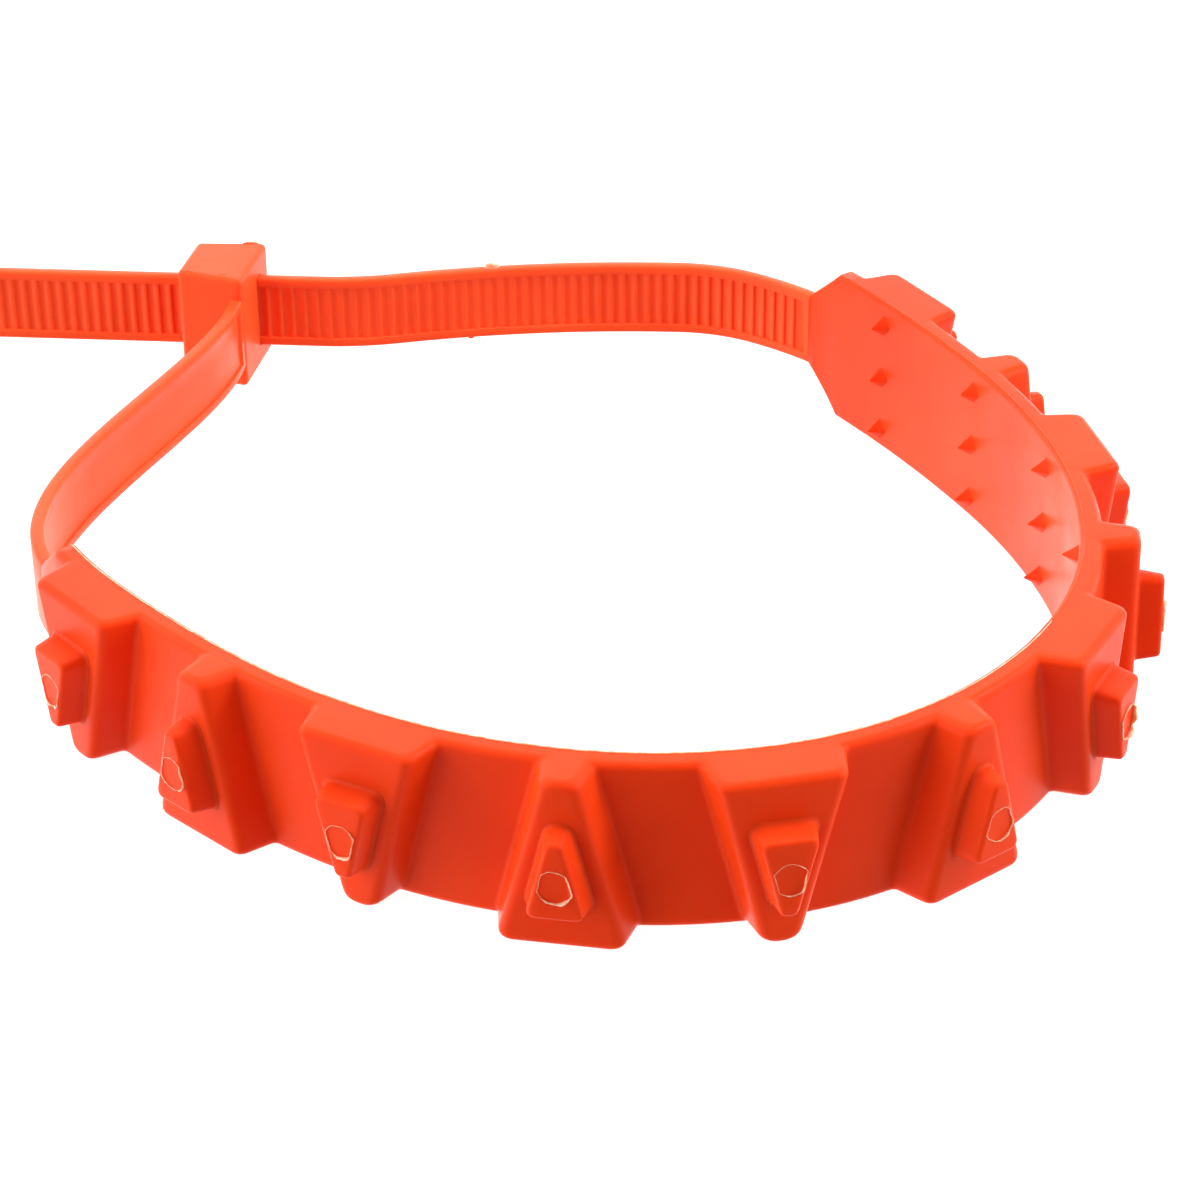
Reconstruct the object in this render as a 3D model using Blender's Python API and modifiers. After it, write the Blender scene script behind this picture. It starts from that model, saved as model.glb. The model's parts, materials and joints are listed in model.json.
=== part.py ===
"""Reusable anti-skid tyre tie: a moulded band with lugs, closed by a ladder strap and a ratchet head.

The tie stands on the lower edge of its band, with the loop lying flat.  The origin is on that
edge, midway between lugs 4 and 5, with +X along the band there, +Y into the loop and +Z up.
Everything follows one centreline, seen from above, that runs counter-clockwise round the loop:
neck strap, tread band, ladder strap, then the free tail.
"""
import math

import bmesh
import bpy
from mathutils import Matrix, Vector

MM = 0.001
GAP = 0.3 * MM                      # clearance between neighbouring solids

# Tread band
BAND_WIDTH = 25.0 * MM
BAND_THICK = 3.3 * MM
LUG_COUNT = 11
LUG_PITCH = 25.5 * MM
LUGS_LEFT_OF_ORIGIN = 4
BENDS_BETWEEN_LUGS = (7.0, 15.0, 18.0, 22.5, 26.0, 23.5, 23.5, 18.0, 12.0, 6.0)
HEAD_END_RUN = (12.6 * MM, 9.5)     # full-width band outside lug 1: length, degrees
LADDER_END_RUN = (11.8 * MM, 3.0)   # full-width band outside lug 11
HEAD_END_TAPER = (8.5 * MM, 4.0)
LADDER_END_TAPER = (7.7 * MM, 12.0)
STEPS_PER_PITCH = 6

# Lugs, the small tips on them, and the spikes inside
LUG_HEIGHT = 5.1 * MM
LUG_WIDE, LUG_NARROW = 16.8 * MM, 4.7 * MM
LUG_DRAFT = 1.0 * MM                # how much a lug spreads at its base, on each side
LUG_SLICES = 4
TIP_HEIGHT = 3.7 * MM
TIP_WIDE, TIP_NARROW = 7.9 * MM, 2.2 * MM
TIP_LENGTH = 11.5 * MM
TIP_DRAFT = 0.4 * MM
SPIKE_HEIGHT = 2.4 * MM
SPIKE_HALF_DIAGONAL = 1.75 * MM     # a spike is a four-sided pyramid on a diamond base
SPIKE_BLUNT = 0.12 * MM
SPIKE_SUNK = 0.6 * MM               # depth of a spike's foot in the band
SPIKE_ROWS = (3.0 * MM, 12.0 * MM, 21.0 * MM)

# Straps
STRAP_WIDTH = 12.0 * MM
STRAP_THICK = 2.0 * MM
RAIL_WIDTH = 1.5 * MM
NECK_RECESS = 0.5 * MM
RECESS_TOOL_THICK = 2.0 * MM
LADDER_RUNS = ((11.5 * MM, 11.0), (13.0 * MM, 29.0), (46.0 * MM, 16.0), (12.5 * MM, -16.75))
GUIDE_LENGTH = 49.0 * MM            # straight stretch of ladder that the head slides on
GUIDE_BEFORE_HEAD = 15.0 * MM
TAIL_RUNS = ((25.0 * MM, 0.0), (60.0 * MM, 14.0), (90.0 * MM, 34.0), (120.0 * MM, 52.0),
             (80.0 * MM, 24.0))
TAIL_STEP = 5.0 * MM
TAIL_POINT_LENGTH = 15.0 * MM
TAIL_POINT_SHARE = 0.35             # width left at the very tip
NECK_HANDLES = (27.2 * MM, 24.7 * MM)
NECK_ARRIVAL = 84.0                 # heading at the head, degrees from +X

# Ladder teeth: a tooth every LADDER_PITCH, steep on the side towards the band
LADDER_PITCH = 2.0 * MM
CREST_RECESS = 0.2 * MM             # crests lie this far below the rails
TOOTH_DEPTH = 0.45 * MM
CREST_LAND = 0.5 * MM
TOOTH_RAMP = 0.9 * MM
STEEP_FACE_OFFSET = 1.0 * MM        # the steep faces stand this far from the head's centre

# Head, in its own axes: E along the strap towards the tail, N towards the neck
HEAD_EXIT_CORNERS = ((5.5 * MM, -5.0 * MM), (6.9 * MM, 6.2 * MM))      # back, front
HEAD_ENTRY_CORNERS = ((-5.8 * MM, -5.5 * MM), (-4.0 * MM, 9.3 * MM))
HEAD_BOTTOM, HEAD_TOP = 3.0 * MM, 22.0 * MM
SLOT_CLEARANCE = 0.4 * MM
CUT_REACH = 12.0 * MM               # the slot's cutter runs this far either side of the centre
NECK_FROM_ENTRY_CORNER = 1.15 * MM
PAWL_PIVOT = (-2.6 * MM, 3.6 * MM)
PAWL_ROOT_RADIUS = 0.9 * MM
PAWL_HALF_WIDTH = 3.8 * MM
PAWL_TOOTH_CLEARANCE = 0.1 * MM
PAWL_FACE_CLEARANCE = 0.25 * MM     # the teeth swing towards the ladder's steep faces as they lift
PAWL_TOOTH_HEIGHT = 0.6 * MM
PAWL_TOOTH_LENGTH = 1.45 * MM
PAWL_TOOTH_LAND = 0.25 * MM
PAWL_REST_LIFT = math.radians(5.0)
CHAMBER_DEPTH = 5.6 * MM
CHAMBER_START = -3.8 * MM

MID_HEIGHT = BAND_WIDTH / 2
STRAP_BOTTOM = MID_HEIGHT - STRAP_WIDTH / 2
STRAP_TOP = MID_HEIGHT + STRAP_WIDTH / 2

ORANGE = (0.93, 0.125, 0.04)
DEEP_ORANGE = (0.86, 0.09, 0.03)
PALE_ORANGE = (0.95, 0.17, 0.06)


def clear_scene():
    for item in list(bpy.data.objects):
        bpy.data.objects.remove(item, do_unlink=True)


def new_collection(name):
    group = bpy.data.collections.new(name)
    bpy.context.scene.collection.children.link(group)
    return group


clear_scene()
PARTS = new_collection("tyre_traction_tie")
CUTTERS = new_collection("cutters")


def plastic(name, colour, roughness=0.42):
    material = bpy.data.materials.new(name)
    material.use_nodes = True
    shader = material.node_tree.nodes["Principled BSDF"]
    shader.inputs["Base Color"].default_value = (*colour, 1.0)
    shader.inputs["Roughness"].default_value = roughness
    shader.inputs["Metallic"].default_value = 0.0
    material.diffuse_color = (*colour, 1.0)
    return material


def add_object(name, mesh, group=PARTS):
    item = bpy.data.objects.new(name, mesh)
    group.objects.link(item)
    if group is CUTTERS:
        item.hide_render = True
        item.display_type = "WIRE"
    return item


def mesh_from(bm, name):
    bmesh.ops.recalc_face_normals(bm, faces=bm.faces)
    mesh = bpy.data.meshes.new(name)
    bm.to_mesh(mesh)
    bm.free()
    return mesh


# ---------------------------------------------------------------- centreline

def walk(runs, start, spacing):
    """Stations (x, y, heading) along arcs given as (length, bend in degrees), from a start station."""
    x, y, heading = start
    stations = [start]
    for length, bend in runs:
        count = max(1, round(length / spacing))
        step = length / count
        turn = math.radians(bend) / count
        chord = step if turn == 0 else step * math.sin(turn / 2) / (turn / 2)
        for _ in range(count):
            x += chord * math.cos(heading + turn / 2)
            y += chord * math.sin(heading + turn / 2)
            heading += turn
            stations.append((x, y, heading))
    return stations


def walk_back(runs, spacing):
    """Stations walked backwards from the origin, returned in forward order with forward headings."""
    mirrored = walk(runs, (0.0, 0.0, 0.0), spacing)
    return [(-x, y, -heading) for x, y, heading in reversed(mirrored)]


def beside(station, offset):
    """The point at offset to the right of a station, which is the outside of the loop."""
    x, y, heading = station
    return (x + offset * math.sin(heading), y - offset * math.cos(heading))


def bezier(p0, p1, p2, p3, count):
    """Stations along a cubic curve between two points."""
    stations = []
    for i in range(count + 1):
        t = i / count
        s = 1 - t
        point = p0 * s**3 + p1 * 3 * t * s**2 + p2 * 3 * t**2 * s + p3 * t**3
        slope = (p1 - p0) * s**2 + (p2 - p1) * 2 * s * t + (p3 - p2) * t**2
        stations.append((point.x, point.y, math.atan2(slope.y, slope.x)))
    return stations


def shorten(stations, start=0.0, end=0.0):
    """Moves the first and last stations inwards along their own headings."""
    x0, y0, h0 = stations[0]
    x1, y1, h1 = stations[-1]
    first = (x0 + start * math.cos(h0), y0 + start * math.sin(h0), h0)
    last = (x1 - end * math.cos(h1), y1 - end * math.sin(h1), h1)
    return [first, *stations[1:-1], last]


BAND_STEP = LUG_PITCH / STEPS_PER_PITCH
HALF_GAP_RUN = (LUG_PITCH / 2, BENDS_BETWEEN_LUGS[LUGS_LEFT_OF_ORIGIN - 1] / 2)
RIGHT_BENDS = BENDS_BETWEEN_LUGS[LUGS_LEFT_OF_ORIGIN:]
LEFT_BENDS = BENDS_BETWEEN_LUGS[:LUGS_LEFT_OF_ORIGIN - 1][::-1]
RIGHT_BAND_RUNS = [HALF_GAP_RUN] + [(LUG_PITCH, bend) for bend in RIGHT_BENDS] + [LADDER_END_RUN]
LEFT_BAND_RUNS = [HALF_GAP_RUN] + [(LUG_PITCH, bend) for bend in LEFT_BENDS] + [HEAD_END_RUN]
RIGHT_LUGS = walk(RIGHT_BAND_RUNS[:-1], (0.0, 0.0, 0.0), LUG_PITCH)[1:]
LEFT_LUGS = walk_back(LEFT_BAND_RUNS[:-1], LUG_PITCH)[:-1]
LUG_STATIONS = LEFT_LUGS + RIGHT_LUGS

BAND_RIGHT_END = walk(RIGHT_BAND_RUNS + [LADDER_END_TAPER], (0.0, 0.0, 0.0), LUG_PITCH)[-1]
BAND_LEFT_END = walk_back(LEFT_BAND_RUNS + [HEAD_END_TAPER], LUG_PITCH)[0]
LADDER_END = walk(LADDER_RUNS, BAND_RIGHT_END, LADDER_PITCH)[-1]
GUIDE_HEADING = LADDER_END[2]
ALONG = Vector((math.cos(GUIDE_HEADING), math.sin(GUIDE_HEADING)))
INWARD = Vector((-math.sin(GUIDE_HEADING), math.cos(GUIDE_HEADING)))
HEAD_CENTRE = Vector(LADDER_END[:2]) + ALONG * GUIDE_BEFORE_HEAD
TAIL_PIVOT = Vector(LADDER_END[:2]) + ALONG * GUIDE_LENGTH


def head_point(e, n):
    """Plan position of a point given in the head's axes."""
    return HEAD_CENTRE + ALONG * e + INWARD * n


# ---------------------------------------------------------------- solid builders

def ribbon(name, stations, half_width, thickness, group=PARTS, mid_height=MID_HEIGHT):
    """A strap standing on edge: an open strip along the stations, thickened by Solidify."""
    bm = bmesh.new()
    rows = []
    for i, (x, y, _) in enumerate(stations):
        half = half_width(i) if callable(half_width) else half_width
        rows.append([bm.verts.new((x, y, mid_height + side * half)) for side in (-1, 1)])
    for before, after in zip(rows, rows[1:]):
        bm.faces.new((before[0], after[0], after[1], before[1]))
    mesh = bpy.data.meshes.new(name)
    bm.to_mesh(mesh)
    bm.free()
    strap = add_object(name, mesh, group)
    shell = strap.modifiers.new("Thickness", "SOLIDIFY")
    shell.thickness = thickness
    shell.offset = 0.0
    shell.use_even_offset = True
    return strap


def outline_solid(name, points, bottom, top, group=PARTS):
    """A flat outline filled and extruded between two heights, as a closed mesh."""
    curve = bpy.data.curves.new(name, "CURVE")
    curve.dimensions = "2D"
    curve.fill_mode = "BOTH"
    curve.extrude = (top - bottom) / 2
    spline = curve.splines.new("POLY")
    spline.points.add(len(points) - 1)
    for target, (x, y) in zip(spline.points, points):
        target.co = (x, y, 0.0, 1.0)
    spline.use_cyclic_u = True
    outline = add_object(name + "_outline", curve, group)
    outline.location.z = (top + bottom) / 2
    bpy.context.view_layer.update()
    evaluated = outline.evaluated_get(bpy.context.evaluated_depsgraph_get())
    bm = bmesh.new()
    bm.from_mesh(bpy.data.meshes.new_from_object(evaluated))
    bm.transform(outline.matrix_world)
    bmesh.ops.remove_doubles(bm, verts=bm.verts, dist=0.005 * MM)
    bpy.data.objects.remove(outline, do_unlink=True)
    return add_object(name, mesh_from(bm, name), group)


def box_mesh(bm, size, centre):
    made = bmesh.ops.create_cube(bm, size=1.0)["verts"]
    bmesh.ops.scale(bm, vec=size, verts=made)
    bmesh.ops.translate(bm, vec=centre, verts=made)
    return made


def combine(target, tool, operation):
    boolean = target.modifiers.new(operation.title(), "BOOLEAN")
    boolean.operation = operation
    boolean.solver = "EXACT"
    boolean.object = tool


def trapezoid_block(bm, wide, narrow, length, height, draft, wide_on_top):
    """A lug or tip in local axes: X along the band, Y outwards, Z up; it narrows towards one end in Z."""
    block = box_mesh(bm, (1.0, height, length), (0.0, height / 2, MID_HEIGHT))
    for vertex in block:
        is_top = vertex.co.z > MID_HEIGHT
        is_outer = vertex.co.y > height / 2
        face_width = wide if is_top == wide_on_top else narrow
        vertex.co.x *= face_width + (0.0 if is_outer else 2 * draft)
    return block


def place_on_lug(bm, index, lift):
    """Moves a block from local axes to its lug's place, lifted off the band's outer face."""
    x, y, heading = LUG_STATIONS[index]
    outward = BAND_THICK / 2 + lift
    bmesh.ops.translate(bm, vec=(0.0, outward, 0.0), verts=bm.verts)
    flip = Matrix.Diagonal((1, -1, 1, 1))
    place = Matrix.Translation((x, y, 0.0)) @ Matrix.Rotation(heading, 4, "Z") @ flip
    bmesh.ops.transform(bm, matrix=place, verts=bm.verts)


# ---------------------------------------------------------------- tread band

def tread_band():
    left = walk_back(LEFT_BAND_RUNS + [HEAD_END_TAPER], BAND_STEP)
    right = walk(RIGHT_BAND_RUNS + [LADDER_END_TAPER], (0.0, 0.0, 0.0), BAND_STEP)
    stations = left[:-1] + right
    taper_steps = round(HEAD_END_TAPER[0] / BAND_STEP)

    def half_width(i):
        from_end = min(i, len(stations) - 1 - i)
        share = min(1.0, from_end / taper_steps)
        return (STRAP_WIDTH + (BAND_WIDTH - STRAP_WIDTH) * share) / 2

    band = ribbon("tread_band", stations, half_width, BAND_THICK)
    bm = bmesh.new()
    for station in LUG_STATIONS:
        for row in SPIKE_ROWS:
            add_spike(bm, station, row)
    spikes = add_object("spike_shapes", mesh_from(bm, "spike_shapes"), CUTTERS)
    combine(band, spikes, "UNION")
    band.data.materials.append(plastic("band_plastic", ORANGE))


def add_spike(bm, station, row):
    """A pyramid on the band's inner face, with corners up, down and to both sides."""
    heading = station[2]
    forward = Vector((math.cos(heading), math.sin(heading), 0.0))
    inward = Vector((-math.sin(heading), math.cos(heading), 0.0))
    up = Vector((0.0, 0.0, 1.0))
    aim = Matrix((forward, -up, inward)).transposed().to_4x4()
    height = SPIKE_HEIGHT + SPIKE_SUNK
    foot = SPIKE_BLUNT + (SPIKE_HALF_DIAGONAL - SPIKE_BLUNT) * height / SPIKE_HEIGHT
    middle = Vector((*beside(station, -BAND_THICK / 2 + SPIKE_SUNK), row)) + inward * height / 2
    bmesh.ops.create_cone(bm, cap_ends=True, segments=4, radius1=foot, radius2=SPIKE_BLUNT,
                          depth=height, matrix=Matrix.Translation(middle) @ aim)


def lug(index):
    bm = bmesh.new()
    wide_on_top = index % 2 == 0
    trapezoid_block(bm, LUG_WIDE, LUG_NARROW, BAND_WIDTH, LUG_HEIGHT, LUG_DRAFT, wide_on_top)
    lengthwise = [edge for edge in bm.edges if edge.verts[0].co.y == edge.verts[1].co.y
                  and edge.verts[0].co.z == edge.verts[1].co.z]
    bmesh.ops.subdivide_edges(bm, edges=lengthwise, cuts=LUG_SLICES - 1, use_grid_fill=True)
    place_on_lug(bm, index, 0.0)
    follow_band(bm, index)
    name = f"lug_{index + 1:02d}"
    block = add_object(name, mesh_from(bm, name))
    block.data.materials.append(plastic(name + "_plastic", ORANGE))


def follow_band(bm, index):
    """Wraps a placed lug's inner face round the band, with the gap between them."""
    x, y, heading = LUG_STATIONS[index]
    tangent = Vector((math.cos(heading), math.sin(heading)))
    outward = Vector((math.sin(heading), -math.cos(heading)))
    reach = BAND_THICK / 2 + LUG_HEIGHT / 2
    for vertex in bm.verts:
        offset = vertex.co.xy - Vector((x, y))
        if offset.dot(outward) < reach:
            along = offset.dot(tangent)
            bend = math.radians(bend_beside(index, along)) / LUG_PITCH
            drop = bend * along * along / 2
            place = Vector((x, y)) + tangent * along + outward * (BAND_THICK / 2 + GAP - drop)
            vertex.co.x, vertex.co.y = place


def bend_beside(index, along):
    """The bend per pitch, in degrees, of the stretch of band on one side of a lug."""
    bends = (HEAD_END_RUN[1] * LUG_PITCH / HEAD_END_RUN[0], *BENDS_BETWEEN_LUGS,
             LADDER_END_RUN[1] * LUG_PITCH / LADDER_END_RUN[0])
    return bends[index] if along < 0 else bends[index + 1]


def grip_tip(index):
    bm = bmesh.new()
    wide_on_top = index % 2 == 0
    trapezoid_block(bm, TIP_WIDE, TIP_NARROW, TIP_LENGTH, TIP_HEIGHT - GAP, TIP_DRAFT, wide_on_top)
    place_on_lug(bm, index, LUG_HEIGHT + GAP)
    name = f"grip_tip_{index + 1:02d}"
    block = add_object(name, mesh_from(bm, name))
    block.data.materials.append(plastic(name + "_plastic", PALE_ORANGE))


# ---------------------------------------------------------------- straps

def cut_recess(strap, stations, depth):
    """Sinks a strap's inner face between its rails, along the given stations."""
    inset = (STRAP_THICK / 2 - depth) + RECESS_TOOL_THICK / 2
    inner = [(*beside(station, -inset), station[2]) for station in stations]
    tool = ribbon(strap.name + "_recess", inner, STRAP_WIDTH / 2 - RAIL_WIDTH, RECESS_TOOL_THICK, CUTTERS)
    combine(strap, tool, "DIFFERENCE")


def neck_strap():
    """The smooth strap from the band's left end to the head, recessed between two rails inside."""
    entry_corner, exit_corner = head_point(*HEAD_ENTRY_CORNERS[1]), head_point(*HEAD_EXIT_CORNERS[1])
    arriving = Vector((math.cos(math.radians(NECK_ARRIVAL)), math.sin(math.radians(NECK_ARRIVAL))))
    on_head = entry_corner + (exit_corner - entry_corner).normalized() * NECK_FROM_ENTRY_CORNER
    end = on_head - arriving * 2 * GAP
    x, y, heading = BAND_LEFT_END
    root = Vector((x, y)) - GAP * Vector((math.cos(heading), math.sin(heading)))
    leaving = Vector((math.cos(heading), math.sin(heading)))
    stations = bezier(end, end - arriving * NECK_HANDLES[1], root - leaving * NECK_HANDLES[0], root, 30)
    strap = ribbon("neck_strap", stations, STRAP_WIDTH / 2, STRAP_THICK)
    cut_recess(strap, stations[1:-1], NECK_RECESS)
    strap.data.materials.append(plastic("neck_plastic", ORANGE))


def ladder_corners(length):
    """Distances along the ladder where its toothed floor has a corner, with the floor's depth there."""
    head_at = length - GUIDE_LENGTH + GUIDE_BEFORE_HEAD
    first = math.ceil((0.6 * LADDER_PITCH - head_at - STEEP_FACE_OFFSET) / LADDER_PITCH)
    last = math.floor((length - 1.2 * LADDER_PITCH - head_at - STEEP_FACE_OFFSET) / LADDER_PITCH)
    corners = []
    for tooth in range(first, last + 1):
        steep = head_at + STEEP_FACE_OFFSET + tooth * LADDER_PITCH
        corners += [(steep, CREST_RECESS + TOOTH_DEPTH), (steep, CREST_RECESS),
                    (steep + CREST_LAND, CREST_RECESS),
                    (steep + CREST_LAND + TOOTH_RAMP, CREST_RECESS + TOOTH_DEPTH)]
    return corners[1:]


def station_at(stations, distance):
    """The station at a distance along evenly walked stations."""
    for before, after in zip(stations, stations[1:]):
        piece = math.hypot(after[0] - before[0], after[1] - before[1])
        if distance <= piece or after is stations[-1]:
            share = distance / piece
            return tuple(a + (b - a) * share for a, b in zip(before, after))
        distance -= piece


def length_of(stations):
    return sum(math.hypot(b[0] - a[0], b[1] - a[1]) for a, b in zip(stations, stations[1:]))


def ladder_strap():
    """The toothed strap from the band's right end, through the head, to where the free tail starts."""
    runs = [*LADDER_RUNS, (GUIDE_LENGTH, 0.0)]
    route = walk(runs, BAND_RIGHT_END, LADDER_PITCH)
    stations = shorten(route, GAP, STRAP_THICK / 2 + GAP)
    strap = ribbon("ladder_strap", stations, STRAP_WIDTH / 2, STRAP_THICK)
    corners = ladder_corners(length_of(route))
    floor_line = [beside(station_at(route, at), -STRAP_THICK / 2 + depth) for at, depth in corners]
    clear = STRAP_THICK
    open_line = [beside(station_at(route, at), -STRAP_THICK / 2 - clear) for at, _ in corners[::4]]
    open_line.append(beside(station_at(route, corners[-1][0]), -STRAP_THICK / 2 - clear))
    tool = outline_solid("ladder_recess", floor_line + open_line[::-1],
                         STRAP_BOTTOM + RAIL_WIDTH, STRAP_TOP - RAIL_WIDTH, CUTTERS)
    combine(strap, tool, "DIFFERENCE")
    strap.data.materials.append(plastic("ladder_plastic", DEEP_ORANGE))


def ladder_tail():
    """The free tail: it starts on the flex axis, and its last stretch comes to a point."""
    start = (TAIL_PIVOT.x, TAIL_PIVOT.y, GUIDE_HEADING)
    stations = walk(TAIL_RUNS, start, TAIL_STEP)
    point_steps = round(TAIL_POINT_LENGTH / TAIL_STEP)

    def half_width(i):
        share = min(1.0, (len(stations) - 1 - i) / point_steps)
        return STRAP_WIDTH / 2 * (TAIL_POINT_SHARE + (1 - TAIL_POINT_SHARE) * share)

    tail = ribbon("ladder_tail", stations, half_width, STRAP_THICK)
    cut_recess(tail, stations[1:-point_steps], CREST_RECESS + TOOTH_DEPTH / 2)
    tail.data.materials.append(plastic("tail_plastic", DEEP_ORANGE))


# ---------------------------------------------------------------- head and pawl

def head_housing():
    """The locking buckle: a wedge-shaped block with a slot for the ladder and a chamber for the pawl."""
    corners = (HEAD_EXIT_CORNERS[0], HEAD_EXIT_CORNERS[1], HEAD_ENTRY_CORNERS[1], HEAD_ENTRY_CORNERS[0])
    housing = outline_solid("head_housing", [head_point(e, n) for e, n in corners], HEAD_BOTTOM, HEAD_TOP)
    half_slot = STRAP_THICK / 2 + SLOT_CLEARANCE
    slot_corners = ((-CUT_REACH, -half_slot), (CUT_REACH, -half_slot), (CUT_REACH, half_slot),
                    (-CUT_REACH, half_slot))
    slot = outline_solid("head_slot", [head_point(e, n) for e, n in slot_corners],
                         STRAP_BOTTOM - SLOT_CLEARANCE, STRAP_TOP + SLOT_CLEARANCE, CUTTERS)
    combine(housing, slot, "DIFFERENCE")
    overlap = half_slot - 0.2 * MM
    chamber_corners = ((CHAMBER_START, overlap), (CUT_REACH, overlap), (CUT_REACH, CHAMBER_DEPTH),
                       (CHAMBER_START, CHAMBER_DEPTH))
    half_chamber = PAWL_HALF_WIDTH + 2 * GAP
    chamber = outline_solid("pawl_chamber", [head_point(e, n) for e, n in chamber_corners],
                            MID_HEIGHT - half_chamber, MID_HEIGHT + half_chamber, CUTTERS)
    combine(housing, chamber, "DIFFERENCE")
    housing.data.materials.append(plastic("head_plastic", PALE_ORANGE))


def pawl():
    """The sprung tongue: two teeth that fit the ladder, drawn locked and set at rest just clear of it."""
    engaged = STRAP_THICK / 2 - CREST_RECESS - TOOTH_DEPTH + PAWL_TOOTH_CLEARANCE
    back = engaged + PAWL_TOOTH_HEIGHT
    steep = STEEP_FACE_OFFSET + 2 * LADDER_PITCH - PAWL_FACE_CLEARANCE
    root_e, root_n = PAWL_PIVOT
    teeth = []
    for tooth_end in (steep - LADDER_PITCH, steep):
        teeth += [(tooth_end - PAWL_TOOTH_LENGTH, back), (tooth_end - PAWL_TOOTH_LAND, engaged),
                  (tooth_end, engaged), (tooth_end, back)]
    arm = [(root_e + PAWL_ROOT_RADIUS, root_n - PAWL_ROOT_RADIUS)]
    tip = [(steep + 0.1 * MM, back + 0.7 * MM), (steep - 0.5 * MM, back + 1.5 * MM)]
    root = []
    for angle in range(90, 271, 30):
        turn = math.radians(angle)
        root.append((root_e + PAWL_ROOT_RADIUS * math.cos(turn), root_n + PAWL_ROOT_RADIUS * math.sin(turn)))
    locked = arm + teeth + tip + root
    pivot = Vector(PAWL_PIVOT)
    lifted = [pivot + Matrix.Rotation(PAWL_REST_LIFT, 2) @ (Vector(point) - pivot) for point in locked]
    centre = head_point(*PAWL_PIVOT)
    solid = outline_solid("pawl", [head_point(e, n) - centre for e, n in lifted],
                          MID_HEIGHT - PAWL_HALF_WIDTH, MID_HEIGHT + PAWL_HALF_WIDTH)
    solid.location = (centre.x, centre.y, 0.0)
    solid.data.materials.append(plastic("pawl_plastic", DEEP_ORANGE))


tread_band()
for number in range(LUG_COUNT):
    lug(number)
    grip_tip(number)
neck_strap()
ladder_strap()
ladder_tail()
head_housing()
pawl()
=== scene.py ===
"""Looks of the anti-skid tyre tie: its fine moulded surfaces, plastic, floor, light and camera.

The layout repeats the driving dimensions of the CAD model, and check_layout() compares it with
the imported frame.  Plan distances run counter-clockwise round the loop: neck strap, tread band,
ladder strap, free tail.  An offset to the right of that line is the outside of the loop.
"""
import json
import math

import bmesh
import bpy
from mathutils import Matrix, Vector, noise


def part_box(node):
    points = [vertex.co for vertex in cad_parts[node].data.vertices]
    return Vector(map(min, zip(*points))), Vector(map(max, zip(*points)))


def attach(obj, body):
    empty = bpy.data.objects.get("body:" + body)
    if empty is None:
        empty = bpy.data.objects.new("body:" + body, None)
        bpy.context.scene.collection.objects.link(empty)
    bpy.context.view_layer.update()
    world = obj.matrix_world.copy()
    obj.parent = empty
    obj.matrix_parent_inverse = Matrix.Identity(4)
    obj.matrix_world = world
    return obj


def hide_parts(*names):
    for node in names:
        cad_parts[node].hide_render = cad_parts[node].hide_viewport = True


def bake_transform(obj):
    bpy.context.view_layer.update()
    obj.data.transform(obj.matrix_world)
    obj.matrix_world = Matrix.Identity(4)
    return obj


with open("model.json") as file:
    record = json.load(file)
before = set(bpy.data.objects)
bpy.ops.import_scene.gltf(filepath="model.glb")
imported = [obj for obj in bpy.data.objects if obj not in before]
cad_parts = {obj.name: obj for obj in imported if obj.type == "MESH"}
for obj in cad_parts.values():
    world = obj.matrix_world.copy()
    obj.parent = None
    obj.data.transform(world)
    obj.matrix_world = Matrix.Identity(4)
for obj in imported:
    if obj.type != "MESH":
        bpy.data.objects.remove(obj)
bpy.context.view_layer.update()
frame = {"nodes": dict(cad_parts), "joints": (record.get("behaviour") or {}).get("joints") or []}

MM = 0.001

# Tread band
BAND_WIDTH = 25.0 * MM
BAND_THICK = 3.3 * MM
LUG_COUNT = 11
LUG_PITCH = 25.5 * MM
LUGS_LEFT_OF_ORIGIN = 4
BENDS_BETWEEN_LUGS = (7.0, 15.0, 18.0, 22.5, 26.0, 23.5, 23.5, 18.0, 12.0, 6.0)
HEAD_END_RUN = (12.6 * MM, 9.5)
LADDER_END_RUN = (11.8 * MM, 3.0)
HEAD_END_TAPER = (8.5 * MM, 4.0)
LADDER_END_TAPER = (7.7 * MM, 12.0)
OUTER_EDGE_ROUND = 1.15 * MM
INNER_EDGE_ROUND = 0.55 * MM

# Lugs, tips and spikes
LUG_HEIGHT = 5.1 * MM
LUG_WIDE, LUG_NARROW = 16.8 * MM, 4.7 * MM
LUG_DRAFT = 1.0 * MM
LUG_FILLET = 0.75 * MM
LUG_SIDE_ROUND = 1.35 * MM
LUG_END_ROUND = 1.2 * MM
LUG_TOP_CORNER, LUG_BOTTOM_CORNER = 1.2 * MM, 1.9 * MM
TIP_HEIGHT = 3.7 * MM
TIP_WIDE, TIP_NARROW = 7.9 * MM, 2.2 * MM
TIP_LENGTH = 11.5 * MM
TIP_DRAFT = 0.4 * MM
TIP_WIDE_CORNER, TIP_NARROW_CORNER = 1.6 * MM, 0.9 * MM
TIP_EDGE_ROUND = 0.65 * MM
TIP_FILLET = 0.6 * MM
SPIKE_HEIGHT = 2.4 * MM
SPIKE_HALF_DIAGONAL = 1.75 * MM
SPIKE_ROWS = (3.0 * MM, 12.0 * MM, 21.0 * MM)

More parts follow.
